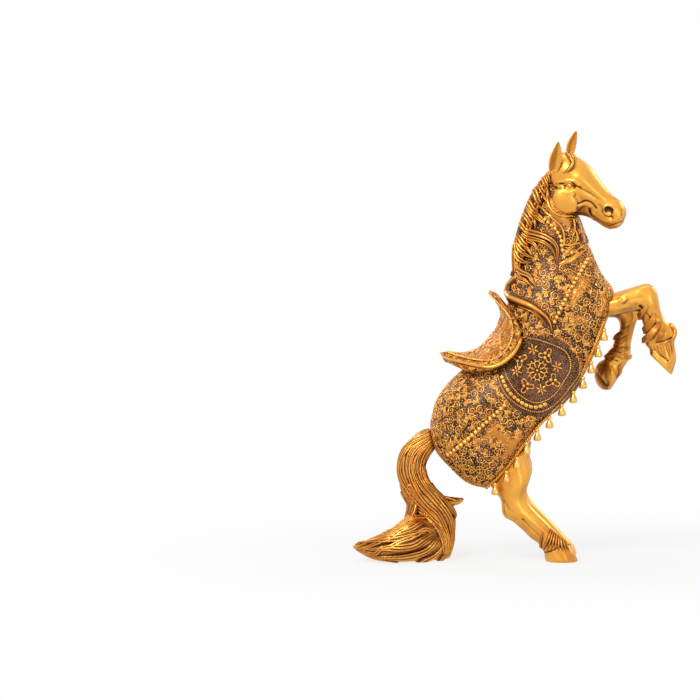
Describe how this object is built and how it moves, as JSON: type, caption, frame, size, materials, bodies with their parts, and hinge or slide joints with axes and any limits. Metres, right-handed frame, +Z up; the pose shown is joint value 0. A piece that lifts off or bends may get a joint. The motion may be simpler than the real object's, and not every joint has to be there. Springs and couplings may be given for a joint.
{
  "type": "rearing horse figurine",
  "caption": "Rearing horse figurine in antique gold with ornate barding, saddle and bell tassels, standing on its hind hooves and tail.",
  "frame": {"origin": "on the surface it stands on, under the middle of the figure's bounding box", "axes": "+X the way the horse faces, +Y its left side, +Z up"},
  "size_m": [0.2722, 0.0884, 0.3583],
  "materials": {
    "antique_barding": "cast resin in antique gold with dark brown wash in the relief",
    "saddle_gold": "cast resin in antique gold with dark brown wash",
    "antique_hair": "cast resin hair, gold on the ridges and dark brown between them",
    "satin_gold": "smooth satin gold paint",
    "bright_trim": "raised trim in brighter gold",
    "steel_dowel": "bright steel bar"
  },
  "bodies": {
    "root": {"bib": "antique_barding", "collar_beads_left": "bright_trim", "collar_beads_right": "bright_trim", "ear_left": "satin_gold", "ear_right": "satin_gold", "fore_hoof_left": "satin_gold", "fore_hoof_right": "satin_gold", "foreleg_left": "satin_gold", "foreleg_left_dowel": "steel_dowel", "foreleg_right": "satin_gold", "foreleg_right_dowel": "steel_dowel", "forelock": "antique_hair", "haunch_beads_left": "bright_trim", "haunch_beads_right": "bright_trim", "head": "satin_gold", "head_dowel": "steel_dowel", "hem_left": "bright_trim", "hem_right": "bright_trim", "hind_hoof_left": "satin_gold", "hind_hoof_right": "satin_gold", "hind_leg_left": "satin_gold", "hind_leg_left_dowel": "steel_dowel", "hind_leg_right": "satin_gold", "hind_leg_right_dowel": "steel_dowel", "mane_crest": "antique_hair", "mane_locks_left": "antique_hair", "mane_locks_right": "antique_hair", "neck": "antique_barding", "neck_dowel": "steel_dowel", "saddle": "saddle_gold", "saddle_cloth_left": "saddle_gold", "saddle_cloth_right": "saddle_gold", "saddle_rim_left": "bright_trim", "saddle_rim_right": "bright_trim", "shoulder_beads_left": "bright_trim", "shoulder_beads_right": "bright_trim", "tail_dowel": "steel_dowel", "tail_fall": "antique_hair", "tail_fan": "antique_hair", "tail_flick": "antique_hair", "tassels_left": "bright_trim", "tassels_right": "bright_trim", "torso": "antique_barding"}
  },
  "joints": []
}
